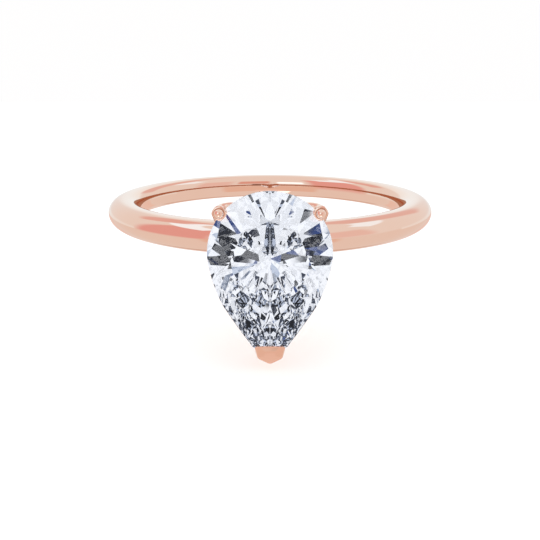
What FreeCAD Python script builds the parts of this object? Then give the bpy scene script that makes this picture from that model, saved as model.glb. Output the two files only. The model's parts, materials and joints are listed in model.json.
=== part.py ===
"""A pear-cut solitaire engagement ring in eight soldered or seated pieces.

The ring lies on its side: +Z is the finger axis, the stone faces -Y, and the origin is the centre of
the finger hole. Everything is built standing up first, stone uppermost, and turned over at the end:
there x runs across the stone, y along it with its point at -y, and z is the height above the finger's
centre. All sizes are in millimetres.
"""
import FreeCAD
import Part
import math
import os

V = FreeCAD.Vector
UP = V(0, 0, 1)

# Shank: a comfort-fit wire, a little deeper than it is wide, with a narrow flat land inside.
FINGER_RADIUS = 8.65
SHANK_DEPTH = 1.9
SHANK_WIDTH = 1.7
LAND_WIDTH = 0.5
SHANK_MIDDLE = FINGER_RADIUS + SHANK_DEPTH / 2

# Stone: a pear brilliant, measured from the centre of its round end.
STONE_WIDTH = 5.9
STONE_LENGTH = 8.2
SIDE_RADIUS = 7.5
STONE_SHIFT = 0.17           # how far the round end's centre stands from the shank's middle plane
ROUND_RADIUS = STONE_WIDTH / 2
GIRDLE_HEIGHT = 13.5         # of the girdle's middle, above the finger's centre
GIRDLE_THICKNESS = 0.17
CROWN_HEIGHT = 0.84
PAVILION_DEPTH = 2.5
CULET_SHIFT = -0.37          # the culet lies this far from the round end's centre
STAR_SHARE = 0.5             # how far down the crown the star facets reach
# From the point round to the head: outward directions of the side, belly and shoulder mains, the
# table's inset at each of the five mains, and how far down the lower girdle facets of each gap reach.
MAIN_ANGLES = (-26.0, -3.0, 43.0)
TABLE_INSETS = (1.57, 0.85, 1.15, 1.2, 1.2)
LOWER_HALF_SHARES = (0.97, 0.78, 0.78, 0.78)

# Claws: two petals with domed tips at the round end, and a chevron over the point.
CLAW_ANGLE = 40.5            # of the two petals, above the stone's widest line
CLAW_REACH = 3.05            # from the round end's centre to a dome's centre
DOME_RADIUS = 0.33
DOME_HEIGHT = 13.82
PETAL_THICKNESS = 0.46
PETAL_STEM_FOOT = 12.95      # where the round stem under a dome starts, inside the petal
POINT_CLAW_TOP = 14.16
POINT_CLAW_HALF = 0.75       # half its width at the top
POINT_CLAW_BACK = -4.27      # its inner edge, over the stone
POINT_CLAW_LIP = 0.11        # how far it reaches beyond the stone's point
POINT_CLAW_FRONT = STONE_SHIFT - (STONE_LENGTH - ROUND_RADIUS) - POINT_CLAW_LIP
PAD_CREST = 0.2              # from the inner edge to where the level pad starts to fall to the stone
PAD_FALL = (0.042, 0.12)     # how steeply it falls there, sideways and towards the stone

# Head: the wire rail inside the claws, the cup below them and the peg that holds it to the shank.
RAIL_RADIUS = 1.52
RAIL_LENGTH = 4.1
RAIL_SIDE_RADIUS = 4.0
RAIL_TIP_RADIUS = 0.5
RAIL_WIRE_RADIUS = 0.22
RAIL_HEIGHT = 11.69
CUP_RADIUS = 1.22
CUP_FOOT_RADIUS = 1.0
CUP_FOOT = 10.0
CUP_FLOOR = 10.64
CUP_RIM = 11.0
CUP_WALL = 0.3
CUP_FLOOR_RADIUS = 0.6       # of the hollow, where it meets the peg
PEG_RADIUS = 0.5
PEG_BOTTOM = 9.55


def polar(radius, degrees, z=0.0):
    """A point at a radius and an angle from +x."""
    a = math.radians(degrees)
    return V(radius * math.cos(a), radius * math.sin(a), z)


# ---------------------------------------------------------------- outlines

class Pear:
    """A pear outline: a round end about the origin, and two side arcs that meet at a point on -y."""

    def __init__(self, radius, length, side_radius):
        self.radius = radius
        self.side_radius = side_radius
        self.tip = -(length - radius)
        # The side arc is tangent to the round end at the angle -join, so its centre lies on that line.
        gap = side_radius - radius
        self.join = self._join_angle(gap)
        self.side_centre = V(-gap * math.cos(self.join), gap * math.sin(self.join), 0)
        self.tip_angle = math.asin((self.side_centre.y - self.tip) / side_radius)
        self.side_length = side_radius * (self.tip_angle - self.join)

    def _join_angle(self, gap):
        """The join's angle below +x for which the side arc ends at the tip."""
        # |tip - centre| = side_radius, with the centre at gap from the origin.
        sine = (self.side_radius ** 2 - self.tip ** 2 - gap ** 2) / (-2 * self.tip * gap)
        return math.asin(sine)

    def point(self, degrees):
        """The point of the right-hand half where the outline faces an angle, from the tip's up to 90."""
        if degrees >= -math.degrees(self.join):
            return polar(self.radius, degrees)
        return self.side_centre + polar(self.side_radius, degrees)

    def _angle_at(self, distance):
        """The direction faced at a distance along the right-hand half, counted from the tip."""
        if distance <= self.side_length:
            return -math.degrees(self.tip_angle - distance / self.side_radius)
        return math.degrees((distance - self.side_length) / self.radius - self.join)

    def _distance_at(self, degrees):
        """The distance along the right-hand half, counted from the tip, where it faces an angle."""
        a = math.radians(degrees)
        if a <= -self.join:
            return (a + self.tip_angle) * self.side_radius
        return self.side_length + (a + self.join) * self.radius

    def halfway(self, first, second):
        """The angle faced halfway along the outline between two angles."""
        return self._angle_at((self._distance_at(first) + self._distance_at(second)) / 2)

    def wire(self, z, tip_radius=0.0):
        """The closed outline at a height, its point sharp or rounded."""
        reach = self.side_radius - tip_radius
        tip_y = self.side_centre.y - math.sqrt(reach ** 2 - self.side_centre.x ** 2)
        end = math.atan2(tip_y - self.side_centre.y, -self.side_centre.x)
        low = -math.degrees(self.join)
        lift = V(0, 0, z)

        def right(radius, degrees, centre=V(0, 0, 0)):
            return centre + polar(radius, degrees) + lift

        def left(point):
            return V(-point.x, point.y, point.z)

        last = math.degrees(end)
        start = right(self.radius, low)
        bend = right(self.side_radius, (low + last) / 2, self.side_centre)
        close = right(self.side_radius, last, self.side_centre)
        edges = [
            Part.Arc(start, V(0, self.radius, z), left(start)).toShape(),
            Part.Arc(left(start), left(bend), left(close)).toShape(),
        ]
        if tip_radius:
            edges.append(Part.Arc(left(close), V(0, tip_y - tip_radius, z), close).toShape())
        edges.append(Part.Arc(close, bend, start).toShape())
        return Part.Wire(edges)


# ---------------------------------------------------------------- stone

def cut_beyond_plane(solid, point, normal):
    """Takes away what lies on the normal's side of a plane."""
    size = 30.0              # of the cutting block, larger than the whole ring
    tool = Part.makeBox(size, size, size, V(-size / 2, -size / 2, 0))
    tool.Placement = FreeCAD.Placement(point, FreeCAD.Rotation(UP, normal))
    return solid.cut(tool)


def plane_through(a, b, c, inside):
    """A plane as a point and the normal that faces away from inside."""
    normal = (b - a).cross(c - a)
    normal.normalize()
    if normal.dot(inside - a) > 0:
        normal = normal * -1
    return a, normal


def mirrored(point):
    return V(-point.x, point.y, point.z)


def main_feet(pear, foot):
    """Outward direction and girdle point of each main on the right half, from the point to the head."""
    feet = [(V(0, -1, 0), V(0, pear.tip, foot))]
    for angle in (*MAIN_ANGLES, 90.0):
        feet.append((polar(1, angle), pear.point(angle) + UP * foot))
    return feet


def gap_middles(pear, foot):
    """The girdle point halfway along each gap between the mains, from the point to the head."""
    angles = [-math.degrees(pear.tip_angle), *MAIN_ANGLES, 90.0]
    return [pear.point(pear.halfway(*pair)) + UP * foot for pair in zip(angles, angles[1:])]


def crown_planes(pear, inside):
    """The crown's facets: the table, the bezels, and for each gap between them its star and halves."""
    foot = GIRDLE_THICKNESS / 2
    planes = [(V(0, 0, foot + CROWN_HEIGHT), UP)]
    bezels, corners = [], []
    for (outward, girdle), inset in zip(main_feet(pear, foot), TABLE_INSETS):
        corner = girdle - outward * inset + UP * CROWN_HEIGHT
        bezels.append((outward, inset, girdle))
        corners.append(corner)
        planes.append(plane_through(girdle, corner, girdle + outward.cross(UP), inside))
    for i, middle in enumerate(gap_middles(pear, foot)):
        star = meeting(bezels[i], bezels[i + 1], CROWN_HEIGHT * (1 - STAR_SHARE))
        planes.append(plane_through(corners[i], corners[i + 1], star, inside))
        planes.append(plane_through(bezels[i][2], middle, star, inside))
        planes.append(plane_through(middle, bezels[i + 1][2], star, inside))
    return planes


def meeting(first, second, rise):
    """Where two bezel planes meet at a rise above the girdle."""
    (n, n_inset, n_foot), (m, m_inset, m_foot) = first, second
    reach_n = n.dot(n_foot) - rise * n_inset / CROWN_HEIGHT
    reach_m = m.dot(m_foot) - rise * m_inset / CROWN_HEIGHT
    turn = n.x * m.y - n.y * m.x
    x = (reach_n * m.y - reach_m * n.y) / turn
    y = (n.x * reach_m - m.x * reach_n) / turn
    return V(x, y, n_foot.z + rise)


def pavilion_planes(pear, inside):
    """The pavilion's facets: mains that all reach the culet, and two lower girdle facets in each gap."""
    foot = -GIRDLE_THICKNESS / 2
    culet = V(0, CULET_SHIFT, foot - PAVILION_DEPTH)
    feet, mains = [], []
    for outward, girdle in main_feet(pear, foot):
        feet.append(girdle)
        mains.append(plane_through(girdle, culet, girdle + outward.cross(UP), inside))
    halves = []
    for i, middle in enumerate(gap_middles(pear, foot)):
        ridge = mains[i][1].cross(mains[i + 1][1])
        low = culet + ridge * (PAVILION_DEPTH * (1 - LOWER_HALF_SHARES[i]) / ridge.z)
        halves.append(plane_through(feet[i], middle, low, inside))
        halves.append(plane_through(middle, feet[i + 1], low, inside))
    return mains + halves


def make_stone(pear):
    """The pear brilliant about its round end's centre, with the girdle's middle at z = 0."""
    inside = V(0, -0.5, 0)   # any point well within, for the facets to face away from
    top = GIRDLE_THICKNESS / 2 + CROWN_HEIGHT
    bottom = GIRDLE_THICKNESS / 2 + PAVILION_DEPTH
    blank = Part.Face(pear.wire(-bottom)).extrude(V(0, 0, top + bottom))
    for point, normal in crown_planes(pear, inside) + pavilion_planes(pear, inside):
        blank = cut_beyond_plane(blank, point, normal)
        on_middle_line = abs(normal.x) < 1e-6
        if not on_middle_line:
            blank = cut_beyond_plane(blank, mirrored(point), mirrored(normal))
    blank.translate(V(0, STONE_SHIFT, GIRDLE_HEIGHT))
    return blank


# ---------------------------------------------------------------- shank and head

def make_full_shank():
    """The shank before it is drilled: its section turned once round the finger.

    The section has a flat land inside, two soft inner corners and a round back, all quarter ellipses.
    """
    half, land = SHANK_WIDTH / 2, LAND_WIDTH / 2

    def at(radial, axial):
        return V(0, axial, radial)

    def ellipse_arc(axial_middle, reach, first, last):
        """Part of an ellipse about the wire's middle, from one angle to another, from +radial to +axial."""
        middle = at(SHANK_MIDDLE, axial_middle)
        ellipse = Part.Ellipse(middle + at(SHANK_DEPTH / 2, 0), middle + at(0, reach), middle)
        return Part.ArcOfEllipse(ellipse, math.radians(first), math.radians(last)).toShape()

    edges = [
        Part.LineSegment(at(FINGER_RADIUS, -land), at(FINGER_RADIUS, land)).toShape(),
        ellipse_arc(land, half - land, 90, 180),
        ellipse_arc(0, half, -90, 90),
        ellipse_arc(-land, half - land, 180, 270),
    ]
    section = Part.Face(Part.Wire(Part.__sortEdges__(edges)))
    return section.revolve(V(0, 0, 0), V(0, 1, 0), 360)


def make_peg():
    return Part.makeCylinder(PEG_RADIUS, CUP_FLOOR - PEG_BOTTOM, V(0, 0, PEG_BOTTOM))


def make_cup():
    """The cup that the claws stand on: a cone with a hollow for the culet."""
    height = CUP_RIM - CUP_FOOT
    cup = Part.makeCone(CUP_FOOT_RADIUS, CUP_RADIUS, height, V(0, 0, CUP_FOOT))
    depth = CUP_RIM - CUP_FLOOR
    hollow = Part.makeCone(CUP_FLOOR_RADIUS, CUP_RADIUS - CUP_WALL, depth, V(0, 0, CUP_FLOOR))
    return cup.cut(hollow)


def make_rail():
    """The gallery rail: a pear of round wire with a soft point."""
    path = Pear(RAIL_RADIUS, RAIL_LENGTH, RAIL_SIDE_RADIUS).wire(RAIL_HEIGHT, RAIL_TIP_RADIUS)
    start = path.Edges[0]
    begin = start.valueAt(start.FirstParameter)
    section = Part.Wire(Part.makeCircle(RAIL_WIRE_RADIUS, begin, start.tangentAt(start.FirstParameter)))
    rail = path.makePipeShell([section], True, False)
    rail.translate(V(0, STONE_SHIFT, 0))
    return rail


# ---------------------------------------------------------------- claws

def spline(points):
    curve = Part.BSplineCurve()
    curve.interpolate(points)
    return curve.toShape()


def make_petal():
    """A petal claw on the +x side: a flared strip turned about the stone, trimmed to a tulip petal."""
    # The strip's outer face, from the cup up to the girdle, as (reach, height).
    flare = [(1.12, 10.35), (1.52, 11.05), (2.18, 11.75), (2.83, 12.5), (3.2, 13.1), (3.36, 13.55)]
    lift = 0.04              # the inner face stands a little higher than the outer
    outer = [V(reach, 0, z) for reach, z in flare]
    inner = [V(reach - PETAL_THICKNESS, 0, z + lift) for reach, z in flare]
    strip = Part.Face(Part.Wire([
        spline(outer),
        Part.LineSegment(outer[-1], inner[-1]).toShape(),
        spline(inner[::-1]),
        Part.LineSegment(inner[0], outer[0]).toShape(),
    ]))
    sweep = 60.0             # in degrees, wider than the petal everywhere
    strip.rotate(V(0, 0, 0), UP, -sweep / 2)
    shell = strip.revolve(V(0, 0, 0), UP, sweep)
    # The petal's edge on one side, as (half width, height): full below, drawn in to the tip.
    edge = [(0.46, 10.2), (0.66, 11.0), (0.8, 11.8), (0.78, 12.5), (0.56, 13.05), (0.34, 13.6)]
    right = [V(0, half, z) for half, z in edge]
    left = [V(0, -half, z) for half, z in edge]
    outline = Part.Face(Part.Wire([
        spline(right),
        Part.LineSegment(right[-1], left[-1]).toShape(),
        spline(left[::-1]),
        Part.LineSegment(left[0], right[0]).toShape(),
    ]))
    beyond = 5.0             # past the strip's outer face
    petal = shell.common(outline.extrude(V(beyond, 0, 0)))
    stem_height = DOME_HEIGHT - PETAL_STEM_FOOT
    stem = Part.makeCylinder(DOME_RADIUS, stem_height, V(CLAW_REACH, 0, PETAL_STEM_FOOT))
    dome = Part.makeSphere(DOME_RADIUS, V(CLAW_REACH, 0, DOME_HEIGHT))
    return petal.fuse([stem, dome]).removeSplitter()


def placed_petal(side):
    """The right-hand or left-hand petal in its place round the stone."""
    petal = make_petal()
    angle = CLAW_ANGLE if side > 0 else 180 - CLAW_ANGLE
    petal.rotate(V(0, 0, 0), UP, angle)
    petal.translate(V(0, STONE_SHIFT, 0))
    return petal


def make_point_claw():
    """The chevron claw: five-sided sections that lean out from the cup to the stone's point."""
    side_along, side_across = 0.33, 0.8      # where the V's side corners stand, as shares of its size

    def section(back, front, half, z):
        """A blunt V seen from above: two corners at the back, two at the sides and one in front."""
        side = front + (back - front) * side_along
        corners = [V(half, back, z), V(half * side_across, side, z), V(0, front, z)]
        corners += [V(-half * side_across, side, z), V(-half, back, z)]
        return Part.makePolygon(corners + corners[:1])

    sections = [
        section(-0.62, -1.28, 0.5, 10.3),
        section(-1.3, -2.2, 0.62, 11.3),
        section(-2.6, -3.62, 0.66, 12.2),
        section(-3.75, -4.85, 0.68, 13.1),
        section(POINT_CLAW_BACK, POINT_CLAW_FRONT, POINT_CLAW_HALF, 13.6),
        section(POINT_CLAW_BACK, POINT_CLAW_FRONT, POINT_CLAW_HALF, POINT_CLAW_TOP),
    ]
    claw = Part.makeLoft(sections, True, True)
    # The top is filed to a level pad, from which two small flats fall to the stone.
    crest = V(0, POINT_CLAW_BACK - PAD_CREST, POINT_CLAW_TOP)
    sideways, inward = PAD_FALL
    for side in (-1, 1):
        claw = cut_beyond_plane(claw, crest, V(side * sideways, inward, 1))
    return claw


# ---------------------------------------------------------------- assembly

def lay_down(shape):
    """Turns a piece from standing, stone uppermost, onto its side, stone to -Y and finger axis to +Z."""
    shape.rotate(V(0, 0, 0), V(1, 0, 0), 90)
    return shape


def build():
    pear = Pear(ROUND_RADIUS, STONE_LENGTH, SIDE_RADIUS)
    stone = make_stone(pear)
    peg = make_peg()
    shank = make_full_shank().cut(peg)
    cup = make_cup().cut([shank, peg])
    rail = make_rail()
    # Each claw is notched for the stone, and stands against the cup, the shank and the rail.
    seats = [stone, cup, make_full_shank(), rail]
    return {
        "shank": shank,
        "head_peg": peg,
        "base_cup": cup,
        "gallery_rail": rail,
        "claw_right": placed_petal(1).cut(seats),
        "claw_left": placed_petal(-1).cut(seats),
        "claw_point": make_point_claw().cut(seats),
        "pear_stone": stone,
    }


def main():
    os.makedirs("parts", exist_ok=True)
    for name, shape in build().items():
        shape = lay_down(shape)
        solids = shape.Solids
        print(name, len(solids), "solid", shape.isValid(), round(shape.Volume, 3), "mm3")
        solids[0].exportStep(f"parts/{name}.step")


main()
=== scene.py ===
"""The looks of the pear-cut solitaire ring: polished rose gold, a brilliant-cut stone and a white studio.

The ring lies on its side as in the CAD frame: +Z is the finger axis and the stone faces -Y. Shapes of the
head are written standing up, stone uppermost, in millimetres from the finger's centre: x runs across the
stone, y along it with its point at -y, and z is the height. laid() turns them into the frame, in metres.
"""
import json
import math
import random

import bmesh
import bpy
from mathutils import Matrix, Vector


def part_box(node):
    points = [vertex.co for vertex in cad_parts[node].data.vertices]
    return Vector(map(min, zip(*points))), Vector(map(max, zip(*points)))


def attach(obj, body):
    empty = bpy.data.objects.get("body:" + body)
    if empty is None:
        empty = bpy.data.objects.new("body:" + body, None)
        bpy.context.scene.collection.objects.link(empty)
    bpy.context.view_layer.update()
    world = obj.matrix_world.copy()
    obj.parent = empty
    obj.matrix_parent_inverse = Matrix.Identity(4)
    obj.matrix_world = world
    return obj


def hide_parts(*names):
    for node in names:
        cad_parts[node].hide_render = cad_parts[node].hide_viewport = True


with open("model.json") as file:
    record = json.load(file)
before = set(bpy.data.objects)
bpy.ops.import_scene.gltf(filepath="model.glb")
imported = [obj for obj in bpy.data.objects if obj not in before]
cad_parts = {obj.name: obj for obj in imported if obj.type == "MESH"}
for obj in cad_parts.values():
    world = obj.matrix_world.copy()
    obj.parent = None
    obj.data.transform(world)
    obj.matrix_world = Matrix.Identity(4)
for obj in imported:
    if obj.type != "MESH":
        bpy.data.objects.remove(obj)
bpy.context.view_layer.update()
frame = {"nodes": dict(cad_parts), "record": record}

MM = 0.001
UP = Vector((0, 0, 1))
TURN = 2 * math.pi

# Read from the frame.
record = frame["record"]
FINGER_RADIUS = record["mounts"][0]["dims"]["r_mm"]
shank_low, shank_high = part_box("shank")
SHANK_OUTSIDE = shank_high.x / MM
SHANK_WIDTH = (shank_high.z - shank_low.z) / MM
stone_low, stone_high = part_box("pear_stone")
ROUND_RADIUS = stone_high.x / MM
STONE_TABLE = -stone_low.y / MM
STONE_CULET = -stone_high.y / MM
STONE_SHIFT = stone_high.z / MM - ROUND_RADIUS
STONE_TIP = stone_low.z / MM - STONE_SHIFT       # the point, from the round end's centre
cup_low, cup_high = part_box("base_cup")
CUP_RIM = -cup_low.y / MM
CUP_RADIUS = cup_high.x / MM
rail_low, rail_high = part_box("gallery_rail")
RAIL_HEIGHT = -(rail_low.y + rail_high.y) / 2 / MM
RAIL_WIRE = (rail_high.y - rail_low.y) / 2 / MM
claw_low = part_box("claw_right")[0]
CLAW_TOP = -claw_low.y / MM
point_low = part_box("claw_point")[0]
POINT_TOP = -point_low.y / MM
POINT_FRONT = point_low.z / MM


def laid(x, y, z):
    """A point of the standing ring, in millimetres, as it lies in the frame, in metres."""
    return Vector((x, -z, y)) * MM


def polar(radius, degrees, z=0.0):
    a = math.radians(degrees)
    return Vector((radius * math.cos(a), radius * math.sin(a), z))


def blend(a, b, t):
    return a + (b - a) * t


def curve_through(points, count):
    """Evenly stepped values of a smooth curve (Catmull-Rom) through a list of equally long tuples."""
    result = []
    spans = len(points) - 1
    for k in range(count + 1):
        u = k / count * spans
        i = min(int(u), spans - 1)
        t = u - i
        p = [points[max(0, min(spans, i + d))] for d in (-1, 0, 1, 2)]
        value = []
        for a, b, c, d in zip(*p):
            value.append(0.5 * (2 * b + (c - a) * t + (2 * a - 5 * b + 4 * c - d) * t * t
                                + (3 * b - a - 3 * c + d) * t ** 3))
        result.append(tuple(value))
    return result


# ---------------------------------------------------------------- mesh helpers

def new_object(name, mesh):
    obj = bpy.data.objects.new(name, mesh)
    bpy.context.scene.collection.objects.link(obj)
    return obj


def object_from(bm, name, sharp_angle=None):
    """An object from a bmesh in standing millimetres, smooth except across edges over sharp_angle."""
    bmesh.ops.recalc_face_normals(bm, faces=bm.faces)
    for v in bm.verts:
        v.co = laid(*v.co)
    for f in bm.faces:
        f.smooth = True
    mesh = bpy.data.meshes.new(name)
    bm.to_mesh(mesh)
    bm.free()
    if sharp_angle is not None:
        mesh.set_sharp_from_angle(angle=math.radians(sharp_angle))
    return new_object(name, mesh)


def add_rings(bm, rings, closed_along=False, first_pole=None, last_pole=None):
    """Quads between equal rings of points; the ends are joined up, brought to a pole, or capped flat."""
    rows = [[bm.verts.new(p) for p in ring] for ring in rings]
    count = len(rows[0])
    pairs = list(zip(rows, rows[1:]))
    if closed_along:
        pairs.append((rows[-1], rows[0]))
    for lower, upper in pairs:
        for i in range(count):
            j = (i + 1) % count
            bm.faces.new((lower[i], lower[j], upper[j], upper[i]))
    if closed_along:
        return
    for row, pole in ((rows[0], first_pole), (rows[-1], last_pole)):
        if pole is None:
            bm.faces.new(row)
            continue
        tip = bm.verts.new(pole)
        for i in range(count):
            bm.faces.new((row[i], row[(i + 1) % count], tip))


def lathe(bm, profile, segments):
    """A body of revolution about the standing z axis, from a closed profile of (radius, height)."""
    rings = []
    for k in range(segments):
        rings.append([polar(r, 360 * k / segments, z) for r, z in profile])
    add_rings(bm, rings, closed_along=True)


def finish_piece(obj, material, slot, node):
    """Gives a piece its material, hangs it from the root body and hides the CAD part whose place it takes. The
    gold isn't seen through the stone.
    """
    obj.visible_transmission = slot == "diamond"
    obj.data.materials.clear()
    obj.data.materials.append(material)
    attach(obj, "root")
    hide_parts(node)


# ---------------------------------------------------------------- node helpers

def add_node(tree, kind, **settings):
    """A new node, with each setting given to the input of that name, or else to the node itself."""
    node = tree.nodes.new(kind)
    for key, value in settings.items():
        if key in node.inputs:
            node.inputs[key].default_value = value
        else:
            setattr(node, key, value)
    return node


def fresh_material(name):
    material = bpy.data.materials.new(name)
    material.use_nodes = True
    material.node_tree.nodes.clear()
    return material, material.node_tree


def connect(tree, source, output, target, socket):
    tree.links.new(source.outputs[output], target.inputs[socket])


# ---------------------------------------------------------------- materials

def rose_gold(name, light, deep, smooth, worn, brushing):
    """Polished rose gold: cloudy alloy colour, buffing haze in the gloss, and hairline marks in the bump."""
    material, tree = fresh_material(name)
    out = add_node(tree, "ShaderNodeOutputMaterial")
    shader = add_node(tree, "ShaderNodeBsdfPrincipled", Metallic=1.0)
    place = add_node(tree, "ShaderNodeTexCoord")

    cloud = add_node(tree, "ShaderNodeTexNoise", Scale=220.0, Detail=3.0, Roughness=0.5)
    colour = add_node(tree, "ShaderNodeValToRGB")
    colour.color_ramp.elements[0].position = 0.3
    colour.color_ramp.elements[0].color = (*deep, 1)
    colour.color_ramp.elements[1].position = 0.7
    colour.color_ramp.elements[1].color = (*light, 1)
    connect(tree, place, "Object", cloud, "Vector")
    connect(tree, cloud, "Fac", colour, "Fac")
    connect(tree, colour, "Color", shader, "Base Color")

    haze = add_node(tree, "ShaderNodeTexNoise", Scale=900.0, Detail=4.0, Roughness=0.6)
    gloss = add_node(tree, "ShaderNodeMapRange")
    gloss.inputs["From Min"].default_value = 0.35
    gloss.inputs["From Max"].default_value = 0.7
    gloss.inputs["To Min"].default_value = smooth
    gloss.inputs["To Max"].default_value = worn
    connect(tree, place, "Object", haze, "Vector")
    connect(tree, haze, "Fac", gloss, "Value")
    connect(tree, gloss, "Result", shader, "Roughness")

    stretch = add_node(tree, "ShaderNodeMapping")
    stretch.inputs["Scale"].default_value = (1.0, 1.0, 9.0)     # the hairlines run round the finger
    hairline = add_node(tree, "ShaderNodeTexNoise", Scale=2500.0, Detail=2.0, Roughness=0.5)
    bump = add_node(tree, "ShaderNodeBump", Strength=brushing, Distance=0.00001)
    connect(tree, place, "Object", stretch, "Vector")
    connect(tree, stretch, "Vector", hairline, "Vector")
    connect(tree, hairline, "Fac", bump, "Height")
    connect(tree, bump, "Normal", shader, "Normal")
    connect(tree, shader, "BSDF", out, "Surface")
    return material


def diamond(name):
    """A clear stone of high refraction, with faint cooler clouds where its crystal grew unevenly."""
    material, tree = fresh_material(name)
    out = add_node(tree, "ShaderNodeOutputMaterial")
    shader = add_node(tree, "ShaderNodeBsdfPrincipled", IOR=2.417, Roughness=0.0)
    shader.inputs["Transmission Weight"].default_value = 1.0
    place = add_node(tree, "ShaderNodeTexCoord")
    clouds = add_node(tree, "ShaderNodeTexNoise", Scale=620.0, Detail=3.0)
    connect(tree, place, "Object", clouds, "Vector")
    tint = add_node(tree, "ShaderNodeValToRGB")
    tint.color_ramp.elements[0].position = 0.4
    tint.color_ramp.elements[0].color = (0.965, 0.98, 1.0, 1)
    tint.color_ramp.elements[1].position = 0.62
    tint.color_ramp.elements[1].color = (0.995, 0.998, 1.0, 1)
    connect(tree, clouds, "Fac", tint, "Fac")
    connect(tree, tint, "Color", shader, "Base Color")
    connect(tree, shader, "BSDF", out, "Surface")
    return material


def paper(name):
    """Matt white paper."""
    material, tree = fresh_material(name)
    out = add_node(tree, "ShaderNodeOutputMaterial")
    shader = add_node(tree, "ShaderNodeBsdfPrincipled", Roughness=0.9)
    shader.inputs["Base Color"].default_value = (0.93, 0.915, 0.915, 1)
    shader.inputs["Specular IOR Level"].default_value = 0.0
    connect(tree, shader, "BSDF", out, "Surface")
    return material


GOLD_LIGHT, GOLD_DEEP = (0.965, 0.70, 0.57), (0.955, 0.675, 0.545)
# The last three: roughness where the polish is fresh, roughness where it is worn, and the hairlines' depth.
shank_gold = rose_gold("shank_gold", GOLD_LIGHT, GOLD_DEEP, 0.03, 0.07, 0.03)
peg_gold = rose_gold("peg_gold", GOLD_LIGHT, GOLD_DEEP, 0.15, 0.3, 0.2)
cup_gold = rose_gold("cup_gold", GOLD_LIGHT, GOLD_DEEP, 0.06, 0.14, 0.06)
rail_gold = rose_gold("rail_gold", GOLD_LIGHT, GOLD_DEEP, 0.06, 0.12, 0.05)
claw_gold = rose_gold("claw_gold", GOLD_LIGHT, GOLD_DEEP, 0.04, 0.09, 0.03)
diamond_clear = diamond("diamond")
floor_paper = paper("floor_paper")


# ---------------------------------------------------------------- shank

def make_shank():
    """The wire's section is a soft oval, a little flatter where it lies against the finger."""
    segments, around = 360, 56                    # steps round the finger and round the wire
    middle = (FINGER_RADIUS + SHANK_OUTSIDE) / 2
    depth = (SHANK_OUTSIDE - FINGER_RADIUS) / 2
    half = SHANK_WIDTH / 2
    inner_power, outer_power = 2.8, 2.0           # superellipse powers, where 2 is a plain ellipse
    section = []
    for k in range(around):
        a = TURN * k / around
        power = outer_power if math.cos(a) >= 0 else inner_power
        c, s = math.cos(a), math.sin(a)
        section.append((middle + depth * math.copysign(abs(c) ** (2 / power), c),
                        half * math.copysign(abs(s) ** (2 / power), s)))
    bm = bmesh.new()
    rings = []
    for k in range(segments):
        a = TURN * k / segments
        rings.append([Vector((r * math.cos(a), y, r * math.sin(a))) for r, y in section])
    add_rings(bm, rings, closed_along=True)
    return object_from(bm, "shank_wire")


# ---------------------------------------------------------------- stone

SIDE_RADIUS = 7.5
GIRDLE_HEIGHT = 13.5          # of the girdle's middle
GIRDLE_THICKNESS = 0.17
# From the point round to the head: outward directions of the side, belly and shoulder mains, the
# table's inset at each of the five mains, and how far down the lower girdle facets of each gap reach.
MAIN_ANGLES = (-26.0, -3.0, 43.0)
TABLE_INSETS = (1.57, 0.85, 1.15, 1.2, 1.2)
LOWER_HALF_SHARES = (0.97, 0.78, 0.78, 0.78)
STAR_SHARE = 0.5              # how far down the crown the star facets reach
CULET_SHIFT = -0.37           # the culet lies this far from the round end's centre
CROWN_HEIGHT = STONE_TABLE - GIRDLE_HEIGHT - GIRDLE_THICKNESS / 2
PAVILION_DEPTH = GIRDLE_HEIGHT - GIRDLE_THICKNESS / 2 - STONE_CULET


class Pear:
    """A pear outline: a round end about the origin, and two side arcs that meet at a point on -y."""

    def __init__(self, radius, tip, side_radius):
        self.radius, self.tip, self.side_radius = radius, tip, side_radius
        gap = side_radius - radius
        self.join = math.asin((side_radius ** 2 - tip ** 2 - gap ** 2) / (-2 * tip * gap))
        self.side_centre = Vector((-gap * math.cos(self.join), gap * math.sin(self.join), 0))
        self.tip_angle = math.asin((self.side_centre.y - tip) / side_radius)
        self.side_length = side_radius * (self.tip_angle - self.join)

    def point(self, degrees):
        """The point of the right-hand half where the outline faces an angle, up to 90."""
        if degrees >= -math.degrees(self.join):
            return polar(self.radius, degrees)
        return self.side_centre + polar(self.side_radius, degrees)

    def angle_at(self, distance):
        """The direction faced at a distance along the right-hand half, counted from the tip."""
        if distance <= self.side_length:
            return -math.degrees(self.tip_angle - distance / self.side_radius)
        return math.degrees((distance - self.side_length) / self.radius - self.join)

    def distance_at(self, degrees):
        """The distance along the right-hand half, counted from the tip, where it faces an angle."""
        a = math.radians(degrees)
        if a <= -self.join:
            return (a + self.tip_angle) * self.side_radius
        return self.side_length + (a + self.join) * self.radius

    def halfway(self, first, second):
        """The angle faced halfway along the outline between two angles."""
        return self.angle_at((self.distance_at(first) + self.distance_at(second)) / 2)

    def length(self):
        """Half the outline's length, from the tip to the head."""
        return self.distance_at(90.0)

    def outline(self, steps):
        """Points round the whole outline, evenly spaced, starting at the tip."""
        right = [self.point(self.angle_at(self.length() * k / steps)) for k in range(steps + 1)]
        left = [mirrored(p) for p in right[-2:0:-1]]
        return right + left


def plane_through(a, b, c, inside):
    """A plane as a point and the normal that faces away from inside."""
    normal = (b - a).cross(c - a).normalized()
    if normal.dot(inside - a) > 0:
        normal = -normal
    return a, normal


def mirrored(vector):
    return Vector((-vector.x, vector.y, vector.z))


def main_feet(pear, foot):
    """Outward direction and girdle point of each main on the right half, from the point to the head."""
    feet = [(Vector((0, -1, 0)), Vector((0, pear.tip, foot)))]
    for angle in (*MAIN_ANGLES, 90.0):
        feet.append((polar(1, angle), pear.point(angle) + UP * foot))
    return feet


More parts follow.
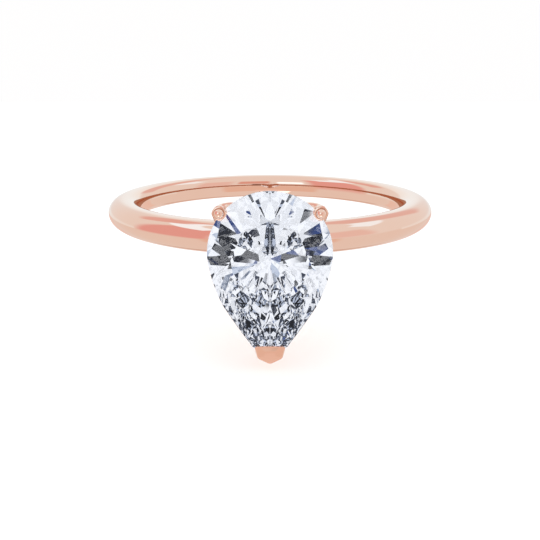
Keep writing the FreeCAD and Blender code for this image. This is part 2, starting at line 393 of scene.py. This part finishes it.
def meeting(first, second, rise):
    """Where two bezel planes meet at a rise above the girdle."""
    (n, n_inset, n_foot), (m, m_inset, m_foot) = first, second
    reach_n = n.dot(n_foot) - rise * n_inset / CROWN_HEIGHT
    reach_m = m.dot(m_foot) - rise * m_inset / CROWN_HEIGHT
    turn = n.x * m.y - n.y * m.x
    x = (reach_n * m.y - reach_m * n.y) / turn
    y = (n.x * reach_m - m.x * reach_n) / turn
    return Vector((x, y, n_foot.z + rise))


def gap_middles(pear, foot):
    """The girdle point halfway along each gap between the mains, from the point to the head."""
    angles = [-math.degrees(pear.tip_angle), *MAIN_ANGLES, 90.0]
    return [pear.point(pear.halfway(*pair)) + UP * foot for pair in zip(angles, angles[1:])]


def crown_planes(pear, inside):
    """The crown's facets: the table, the bezels, and for each gap between them its star and halves."""
    foot = GIRDLE_THICKNESS / 2
    planes = [(Vector((0, 0, foot + CROWN_HEIGHT)), UP.copy())]
    bezels, corners = [], []
    for (outward, girdle), inset in zip(main_feet(pear, foot), TABLE_INSETS):
        corner = girdle - outward * inset + UP * CROWN_HEIGHT
        bezels.append((outward, inset, girdle))
        corners.append(corner)
        planes.append(plane_through(girdle, corner, girdle + outward.cross(UP), inside))
    for i, middle in enumerate(gap_middles(pear, foot)):
        star = meeting(bezels[i], bezels[i + 1], CROWN_HEIGHT * (1 - STAR_SHARE))
        planes.append(plane_through(corners[i], corners[i + 1], star, inside))
        planes.append(plane_through(bezels[i][2], middle, star, inside))
        planes.append(plane_through(middle, bezels[i + 1][2], star, inside))
    return planes


def pavilion_planes(pear, inside):
    """The pavilion's facets: mains that all reach the culet, and two lower girdle facets in each gap."""
    foot = -GIRDLE_THICKNESS / 2
    culet = Vector((0, CULET_SHIFT, foot - PAVILION_DEPTH))
    feet, mains = [], []
    for outward, girdle in main_feet(pear, foot):
        feet.append(girdle)
        mains.append(plane_through(girdle, culet, girdle + outward.cross(UP), inside))
    halves = []
    for i, middle in enumerate(gap_middles(pear, foot)):
        ridge = mains[i][1].cross(mains[i + 1][1])
        low = culet + ridge * (PAVILION_DEPTH * (1 - LOWER_HALF_SHARES[i]) / ridge.z)
        halves.append(plane_through(feet[i], middle, low, inside))
        halves.append(plane_through(middle, feet[i + 1], low, inside))
    return mains + halves


def stone_mesh(grow=0.0):
    """The brilliant in standing millimetres; grow pushes every facet out, to cut seats with clearance."""
    pear = Pear(ROUND_RADIUS, STONE_TIP, SIDE_RADIUS)
    inside = Vector((0, -0.5, 0))                 # any point well within
    spare = 0.5                                   # of the blank, above the table and below the culet
    outline_steps = 40                            # on each side
    tolerance = 1e-6
    top = GIRDLE_THICKNESS / 2 + CROWN_HEIGHT + spare
    bottom = GIRDLE_THICKNESS / 2 + PAVILION_DEPTH + spare
    bm = bmesh.new()
    outline = [p + (p - inside).normalized() * grow for p in pear.outline(outline_steps)]
    add_rings(bm, [[p - UP * bottom for p in outline], [p + UP * top for p in outline]])
    for point, normal in crown_planes(pear, inside) + pavilion_planes(pear, inside):
        sides = [(point, normal)]
        if abs(normal.x) > tolerance:
            sides.append((mirrored(point), mirrored(normal)))
        for p, n in sides:
            cut = bmesh.ops.bisect_plane(bm, geom=bm.verts[:] + bm.edges[:] + bm.faces[:], dist=tolerance,
                                         plane_co=p + n * grow, plane_no=n, clear_outer=True)
            rim = [e for e in cut["geom_cut"] if isinstance(e, bmesh.types.BMEdge)]
            if rim:
                bmesh.ops.contextual_create(bm, geom=rim)
    bmesh.ops.remove_doubles(bm, verts=bm.verts, dist=1e-4)
    bmesh.ops.translate(bm, verts=bm.verts, vec=Vector((0, STONE_SHIFT, GIRDLE_HEIGHT)))
    return bm


def make_stone():
    """The stone itself, every facet flat."""
    obj = object_from(stone_mesh(), "pear_brilliant")
    for polygon in obj.data.polygons:
        polygon.use_smooth = False
    return obj


# ---------------------------------------------------------------- setting

def make_cup():
    """The cup below the claws, its rim rounded over and its side drawn in to the foot."""
    foot, waist, side, floor = 9.96, 10.3, 10.6, 10.7          # heights
    core, wall, inner_round, outer_round = 0.62, 0.3, 0.05, 0.06
    r = CUP_RADIUS
    profile = [
        (core, floor),
        (r - wall, CUP_RIM - inner_round),
        (r - wall + inner_round, CUP_RIM),
        (r - outer_round, CUP_RIM),
        (r, CUP_RIM - outer_round),
        (r - 0.06, side),
        (r - 0.2, waist),
        (r - 0.24, foot),
        (core, foot),
    ]
    segments, sharp_angle = 96, 35
    bm = bmesh.new()
    lathe(bm, profile, segments)
    return object_from(bm, "cup", sharp_angle)


def make_rail():
    """The gallery rail: round wire along a pear, its point eased."""
    side_share = 2.65             # the side arcs' radius, as a share of the round end's
    eased = 0.25                  # how much the point loses as it is smoothed
    steps, smoothings, around = 60, 6, 20
    radius = rail_high.x / MM - RAIL_WIRE
    shift = rail_high.z / MM - RAIL_WIRE - radius
    tip = rail_low.z / MM + RAIL_WIRE - shift - eased
    path = Pear(radius, tip, radius * side_share).outline(steps)
    for _ in range(smoothings):
        path = [(path[k - 1] + path[k] * 2 + path[(k + 1) % len(path)]) / 4 for k in range(len(path))]
    rings = []
    for k, p in enumerate(path):
        along = (path[(k + 1) % len(path)] - path[k - 1]).normalized()
        side = along.cross(UP)
        rings.append([p + (side * math.cos(a) + UP * math.sin(a)) * RAIL_WIRE + Vector((0, shift, RAIL_HEIGHT))
                      for a in (TURN * j / around for j in range(around))])
    bm = bmesh.new()
    add_rings(bm, rings, closed_along=True)
    return object_from(bm, "gallery_wire")


CLAW_ANGLE = 40.5             # of the two petals, above the stone's widest line
CLAW_REACH = 3.05             # from the round end's centre to a dome's centre
DOME_RADIUS = 0.33
DOME_FOOT = 13.82
SEAT_CLEARANCE = 0.008        # between the stone and the seats cut for it
CLAW_SHARP_ANGLE = 40         # edges over this many degrees stay sharp
PAD_SHARP_ANGLE = 20          # the same on the point claw, whose filed faces meet at flatter angles


def petal_rings():
    """Sections of the right-hand petal turned onto +x, from the cup up to its round tip."""
    # (reach, height, half width, half thickness)
    stations = [
        (0.98, 10.2, 0.42, 0.2),
        (1.25, 10.8, 0.6, 0.22),
        (1.75, 11.5, 0.74, 0.23),
        (2.35, 12.2, 0.78, 0.23),
        (2.8, 12.8, 0.66, 0.24),
        (3.0, 13.25, 0.5, 0.27),
        (CLAW_REACH, 13.55, 0.36, 0.31),
        (CLAW_REACH, 13.8, DOME_RADIUS, DOME_RADIUS),
    ]
    count, around = 56, 32
    upright_from, upright_over = 13.5, 0.25       # the height where the sections turn level
    boxiness = 0.8                                # 1 is a plain ellipse, and less is squarer
    curve = curve_through(stations, count)
    rings = []
    for k, (reach, z, half, thick) in enumerate(curve):
        before, after = curve[max(0, k - 1)], curve[min(count, k + 1)]
        along = Vector((after[0] - before[0], 0, after[1] - before[1])).normalized()
        if z > upright_from:
            along = blend(along, UP, min(1.0, (z - upright_from) / upright_over)).normalized()
        out = along.cross(Vector((0, -1, 0)))
        out = out if out.x > 0 else -out
        ring = []
        for j in range(around):
            a = TURN * j / around
            c, s = math.cos(a), math.sin(a)
            across = half * math.copysign(abs(s) ** boxiness, s)
            deep = thick * math.copysign(abs(c) ** boxiness, c)
            sag = across ** 2 / (2 * reach)
            ring.append(Vector((reach, 0, z)) + out * (deep - sag) + Vector((0, across, 0)))
        rings.append(ring)
    return rings


def dome_rings(centre, radius, around):
    """The claw's burnished tip: a collar, a narrow groove, and the ball that grips the crown."""
    ball = 0.73 * radius
    ball_foot, ball_steps, first_angle = 0.1, 9, 10
    profile = [(radius, 0.0), (radius * 0.985, 0.045), (radius * 0.93, 0.086), (radius * 0.84, 0.1),
               (ball * 1.02, 0.096), (ball * 0.98, 0.13)]
    for k in range(1, ball_steps):
        a = math.radians(first_angle + (90 - first_angle) * k / ball_steps)
        profile.append((ball * math.cos(a), ball_foot + (CLAW_TOP - centre.z - ball_foot) * math.sin(a)))
    rings = []
    for r, rise in profile:
        rings.append([centre + Vector((r * math.cos(t), r * math.sin(t), rise))
                      for t in (TURN * j / around for j in range(around))])
    return rings


def make_petal_claw(name, side):
    """The right-hand (side 1) or left-hand (side -1) petal, turned to its place round the stone."""
    rings = petal_rings()
    dome = dome_rings(Vector((CLAW_REACH, 0, DOME_FOOT)), DOME_RADIUS, len(rings[0]))
    bm = bmesh.new()
    add_rings(bm, rings + dome, last_pole=Vector((CLAW_REACH, 0, CLAW_TOP)))
    angle = math.radians(CLAW_ANGLE if side > 0 else 180 - CLAW_ANGLE)
    for v in bm.verts:
        x, y = v.co.x, v.co.y
        v.co.x = x * math.cos(angle) - y * math.sin(angle)
        v.co.y = x * math.sin(angle) + y * math.cos(angle) + STONE_SHIFT
    return object_from(bm, name)


def point_section(back, front, half, z, shrink=1.0):
    """A blunt V seen from above with its corners filed round, shrunk towards its own middle."""
    side_along, side_across = 0.33, 0.8           # where the V's side corners stand, as shares of its size
    filed, steps = 0.18, 5                        # the share of each edge that a filed corner takes
    side = blend(front, back, side_along)
    corners = [Vector((half, back, z)), Vector((half * side_across, side, z)), Vector((0, front, z)),
               Vector((-half * side_across, side, z)), Vector((-half, back, z))]
    middle = Vector((0, blend(front, back, 0.5), z))
    ring = []
    for i, corner in enumerate(corners):
        before = blend(corner, corners[i - 1], filed)
        after = blend(corner, corners[(i + 1) % len(corners)], filed)
        for k in range(steps + 1):
            t = k / steps
            bend = blend(blend(before, corner, t), blend(corner, after, t), t)
            ring.append(middle + (bend - middle) * shrink)
    return ring


def make_point_claw():
    """The chevron claw over the stone's point: blunt V sections under a nearly level filed pad."""
    # (back, front, half width, height)
    stations = [
        (-0.62, -1.28, 0.5, 10.3),
        (-1.3, -2.2, 0.62, 11.3),
        (-2.6, -3.62, 0.66, 12.2),
        (-3.75, -4.85, 0.68, 13.1),
        (-4.27, POINT_FRONT, 0.74, 13.6),
        (-4.27, POINT_FRONT, 0.75, POINT_TOP - 0.1),
    ]
    rings = [point_section(*station) for station in stations]
    back, front, half, shoulder = stations[-1]
    middle = blend(front, back, 0.5)
    crest = back - 0.2            # where the pad starts to fall to the stone, on the middle line
    pad_rise, lean, fall, spread = 0.05, -0.02, 0.12, 0.35
    pad_rings, pad_step = 12, 0.075

    def pad_height(p):
        """The filed pad leans a little, and a V of two small flats falls off to the stone."""
        past_crest = max(0.0, p.y - crest + spread * abs(p.x))
        return shoulder + pad_rise + lean * (p.y - middle) - fall * past_crest

    for k in range(1, pad_rings + 1):
        ring = point_section(back, front, half, shoulder, 1 - pad_step * k)
        for p in ring:
            p.z = pad_height(p)
        rings.append(ring)
    pole = Vector((0, middle, 0))
    pole.z = pad_height(pole)
    bm = bmesh.new()
    add_rings(bm, rings, last_pole=pole)
    return object_from(bm, "point_chevron", CLAW_SHARP_ANGLE)


def cut_seat(obj, cutter, sharp_angle):
    """Cuts the stone's seat out of a claw, and marks its sharp edges again."""
    modifier = obj.modifiers.new("seat", "BOOLEAN")
    modifier.operation = "DIFFERENCE"
    modifier.solver = "EXACT"
    modifier.object = cutter
    depsgraph = bpy.context.evaluated_depsgraph_get()
    mesh = bpy.data.meshes.new_from_object(obj.evaluated_get(depsgraph))
    obj.modifiers.clear()
    obj.data = mesh
    mesh.set_sharp_from_angle(angle=math.radians(sharp_angle))


# ---------------------------------------------------------------- studio

PAPER_LIGHT = (1.32, 1.31, 1.31)          # what the paper gets, and light that has met the paper
BACKDROP = (1.0, 0.995, 0.995)            # what the camera sees past the paper


def direction_angles(tree):
    """Azimuth in degrees, 0 towards -Y and growing towards +X, and elevation in degrees."""
    place = add_node(tree, "ShaderNodeTexCoord")
    parts = add_node(tree, "ShaderNodeSeparateXYZ")
    connect(tree, place, "Generated", parts, "Vector")
    back = add_node(tree, "ShaderNodeMath", operation="MULTIPLY")
    back.inputs[1].default_value = -1.0
    connect(tree, parts, "Y", back, 0)
    azimuth = add_node(tree, "ShaderNodeMath", operation="ARCTAN2")
    connect(tree, parts, "X", azimuth, 0)
    connect(tree, back, "Value", azimuth, 1)
    elevation = add_node(tree, "ShaderNodeMath", operation="ARCSINE")
    connect(tree, parts, "Z", elevation, 0)
    degrees = []
    for source in (azimuth, elevation):
        node = add_node(tree, "ShaderNodeMath", operation="DEGREES")
        connect(tree, source, "Value", node, 0)
        degrees.append(node)
    return degrees


def falloff(tree, angle, middle, half, soft):
    """1 within half of middle, down to 0 over soft degrees, the short way round the circle."""
    away = add_node(tree, "ShaderNodeMath", operation="SUBTRACT")
    away.inputs[1].default_value = middle
    connect(tree, angle, "Value", away, 0)
    size = add_node(tree, "ShaderNodeMath", operation="PINGPONG")
    size.inputs[1].default_value = 180.0
    connect(tree, away, "Value", size, 0)
    edge = add_node(tree, "ShaderNodeMapRange", interpolation_type="SMOOTHSTEP")
    edge.inputs["From Min"].default_value = half
    edge.inputs["From Max"].default_value = half + soft
    edge.inputs["To Min"].default_value = 1.0
    edge.inputs["To Max"].default_value = 0.0
    connect(tree, size, "Value", edge, "Value")
    return edge


MIX_FACTOR, MIX_A, MIX_B = 0, 6, 7        # a Mix node's inputs for colours
MIX_RESULT = 2                            # and its output


def mix_colours(tree, factor, off, on):
    """A blend from one colour to another as a factor goes from 0 to 1. Each is a tuple or a socket."""
    mix = add_node(tree, "ShaderNodeMix", data_type="RGBA")
    tree.links.new(factor, mix.inputs[MIX_FACTOR])
    for index, colour in ((MIX_A, off), (MIX_B, on)):
        if isinstance(colour, tuple):
            mix.inputs[index].default_value = (*colour, 1)
        else:
            tree.links.new(colour, mix.inputs[index])
    return mix.outputs[MIX_RESULT]


def add_cards(tree, angles, base, cards):
    """Lays soft-edged panels over a base colour: (azimuth, half, elevation, half, softness, colour)."""
    result = base
    for azimuth, half_wide, elevation, half_high, soft, colour in cards:
        wide = falloff(tree, angles[0], azimuth, half_wide, soft)
        high = falloff(tree, angles[1], elevation, half_high, soft)
        mask = add_node(tree, "ShaderNodeMath", operation="MULTIPLY")
        connect(tree, wide, "Result", mask, 0)
        connect(tree, high, "Result", mask, 1)
        result = mix_colours(tree, mask.outputs["Value"], result, colour)
    return result


# Panels that the metal mirrors: (azimuth, half, elevation, half, softness, colour).
METAL_BASE = (0.84, 0.84, 0.84)
METAL_CARDS = [
    (0, 180, -55, 48, 8, (0.81, 0.75, 0.72)),         # paper below
    (180, 10, 13, 14, 12, (0.92, 1.02, 1.06)),        # light behind
    (180, 34, -17, 7, 6, (0.83, 0.66, 0.6)),          # warm shade under it
    (-135, 30, -4, 2.5, 3, (0.87, 0.93, 0.95)),       # paper's far edge, left and right
    (135, 35, -3, 2.5, 3, (0.87, 0.93, 0.95)),
    (-70, 24, 24, 26, 12, (0.79, 0.44, 0.43)),        # rose curtain on the left
    (56, 12, 20, 14, 12, (0.82, 0.65, 0.63)),         # paler curtain on the right
    (-104, 42, 57, 6, 2, (0.97, 1.24, 1.45)),         # long lamp over the rose curtain
    (-143, 14, 46, 8, 6, (0.79, 0.52, 0.5)),          # rose shades behind, left and right
    (155, 12, 38, 14, 8, (0.79, 0.57, 0.55)),
    (114, 20, 51, 5.5, 3, (0.95, 1.18, 1.36)),        # lamp over the right-hand side
    (0, 42, -17, 9, 9, (0.79, 0.6, 0.52)),            # warm shade low in front, for the inner wall
    (0, 14, -27, 4, 3, (0.86, 0.69, 0.64)),           # paler below it, for the point claw's pad
    (180, 30, -50, 9, 6, (0.68, 0.52, 0.45)),         # warm shade low behind, for the lower edges
    (16, 13, 22, 11, 5, (0.73, 0.42, 0.37)),          # salmon curtain over the lens
    (-20, 11, 17, 6, 4, (1.2, 1.55, 1.8)),            # lamp beside the lens
    (9, 7, 1, 3, 3, (0.02, 0.015, 0.015)),            # the dark lens and its hood
    (-6, 15, -44, 7, 2, (2.0, 2.1, 2.2)),             # glint low in front, for the claws' tips
]
# What gold finds when it mirrors gold: the warm, dark inside of the ring.
METAL_DEEP = (0.42, 0.24, 0.17)

# What the stone's surface mirrors before any light has been inside it: a dim room.
STONE_SHEEN = (0.14, 0.15, 0.18)
# What light finds that has gone round inside the stone for long: a dark room, and later a pale haze.
STONE_LATE = (0.05, 0.06, 0.09)
STONE_HAZE = (0.66, 0.73, 0.9)
# The world's Ray Depth is one more than the number of bounces, so a first reflection has 2.
FIRST_DEPTH = 2.5
LATE_DEPTH = 12.5
LAST_DEPTH = 16.5

# What the stone gathers through its facets: white tents, with dark and blue flags between them.
STONE_BASE = (1.14, 1.16, 1.22)
FLAG_COUNT = 64
FLAG_SEED = 11
STONE_FLAGS = [
    (0, 12, 12, 12, 3, (0.004, 0.004, 0.006)),
    (-4, 15, -14, 10, 3, (0.004, 0.004, 0.006)),
    (-70, 4, 25, 6, 3, (0.015, 0.03, 0.1)),
    (75, 4, 20, 6, 3, (0.015, 0.03, 0.1)),
    (-150, 6, 10, 18, 3, (0.012, 0.014, 0.025)),
    (140, 6, 10, 18, 3, (0.012, 0.014, 0.025)),
]


def scattered_flags(count, seed):
    """Small flags at random places in front of the stone: black, navy, grey and pale blue."""
    draw = random.Random(seed)
    colours = [(0.01, 0.01, 0.015), (0.03, 0.07, 0.26), (0.3, 0.35, 0.46), (0.55, 0.63, 0.8)]
    flags = []
    for _ in range(count):
        azimuth, elevation = draw.uniform(-85, 85), draw.uniform(-60, 75)
        flags.append((azimuth, draw.uniform(1.5, 5), elevation, draw.uniform(1.5, 5), 1.2,
                      draw.choice(colours)))
    return flags


def over(tree, source, output, threshold):
    """1 where a node's output is over a threshold, else 0."""
    test = add_node(tree, "ShaderNodeMath", operation="GREATER_THAN")
    test.inputs[1].default_value = threshold
    connect(tree, source, output, test, 0)
    return test.outputs["Value"]


def by_depth(tree, path, first, later):
    """The first colour, or the last of the later ones whose Ray Depth the light has passed."""
    colour = first
    for depth, found in later:
        colour = mix_colours(tree, over(tree, path, "Ray Depth", depth), colour, found)
    return colour


def make_world():
    """White light on the paper, panels for the metal's reflections, and flags for the stone."""
    world = bpy.data.worlds.new("studio")
    bpy.context.scene.world = world
    world.use_nodes = True
    world.cycles.sampling_method = "NONE"
    tree = world.node_tree
    tree.nodes.clear()
    angles = direction_angles(tree)
    path = add_node(tree, "ShaderNodeLightPath")

    panels = add_cards(tree, angles, METAL_BASE, METAL_CARDS)
    metal = by_depth(tree, path, panels, [(FIRST_DEPTH, METAL_DEEP)])
    flags = add_cards(tree, angles, STONE_BASE, STONE_FLAGS + scattered_flags(FLAG_COUNT, FLAG_SEED))
    later = [(FIRST_DEPTH, flags), (LATE_DEPTH, STONE_LATE), (LAST_DEPTH, STONE_HAZE)]
    stone = by_depth(tree, path, STONE_SHEEN, later)

    colour = mix_colours(tree, path.outputs["Is Glossy Ray"], PAPER_LIGHT, metal)
    colour = mix_colours(tree, path.outputs["Is Singular Ray"], colour, stone)
    has_met_paper = over(tree, path, "Diffuse Depth", 0.5)
    colour = mix_colours(tree, has_met_paper, colour, PAPER_LIGHT)
    colour = mix_colours(tree, path.outputs["Is Camera Ray"], colour, BACKDROP)
    background = add_node(tree, "ShaderNodeBackground", Strength=1.0)
    tree.links.new(colour, background.inputs["Color"])
    out = add_node(tree, "ShaderNodeOutputWorld")
    connect(tree, background, "Background", out, "Surface")


FLOOR_HEIGHT = -5.6 * MM          # just clear of the point claw, the ring's lowest piece
FLOOR_REACH = 0.6


def make_floor():
    """A wide sheet of white paper under the ring, which neither gold nor stone mirrors."""
    reach = FLOOR_REACH
    bm = bmesh.new()
    corners = [(-reach, -reach), (reach, -reach), (reach, reach), (-reach, reach)]
    bm.faces.new([bm.verts.new((x, y, FLOOR_HEIGHT)) for x, y in corners])
    mesh = bpy.data.meshes.new("floor")
    bm.to_mesh(mesh)
    bm.free()
    floor = new_object("floor", mesh)
    mesh.materials.append(floor_paper)
    floor.visible_glossy = False
    floor.visible_transmission = False


CAMERA_DISTANCE = 0.043
CAMERA_ELEVATION = 10.2
CAMERA_DIP = 5.74             # how far below the ring's centre the lens points
CAMERA_LENS = 42.4


def make_camera():
    data = bpy.data.cameras.new("camera")
    data.lens = CAMERA_LENS
    data.sensor_width = 36.0
    data.clip_start = 0.001
    data.clip_end = 10.0
    camera = new_object("camera", data)
    rise = math.radians(CAMERA_ELEVATION)
    camera.location = Vector((0, -math.cos(rise), math.sin(rise))) * CAMERA_DISTANCE
    camera.rotation_euler = (math.radians(90 - CAMERA_ELEVATION - CAMERA_DIP), 0, 0)
    bpy.context.scene.camera = camera


# ---------------------------------------------------------------- assembly

finish_piece(make_shank(), shank_gold, "shank_gold", "shank")
peg = frame["nodes"]["head_peg"]             # buried in the shank and the cup, so its CAD shape stays
peg.visible_transmission = False
peg.data.materials.clear()
peg.data.materials.append(peg_gold)
finish_piece(make_cup(), cup_gold, "cup_gold", "base_cup")
finish_piece(make_rail(), rail_gold, "rail_gold", "gallery_rail")
cutter = object_from(stone_mesh(SEAT_CLEARANCE), "seat_cutter")
claws = {
    "claw_left": (make_petal_claw("petal_left", -1), CLAW_SHARP_ANGLE),
    "claw_right": (make_petal_claw("petal_right", 1), CLAW_SHARP_ANGLE),
    "claw_point": (make_point_claw(), PAD_SHARP_ANGLE),
}
for node, (claw, sharp_angle) in claws.items():
    cut_seat(claw, cutter, sharp_angle)
    finish_piece(claw, claw_gold, "claw_gold", node)
bpy.data.objects.remove(cutter)
finish_piece(make_stone(), diamond_clear, "diamond", "pear_stone")

make_world()
make_floor()
make_camera()

scene = bpy.context.scene
scene.view_settings.view_transform = "Standard"
scene.cycles.max_bounces = 32
scene.cycles.transmission_bounces = 32
scene.cycles.glossy_bounces = 16
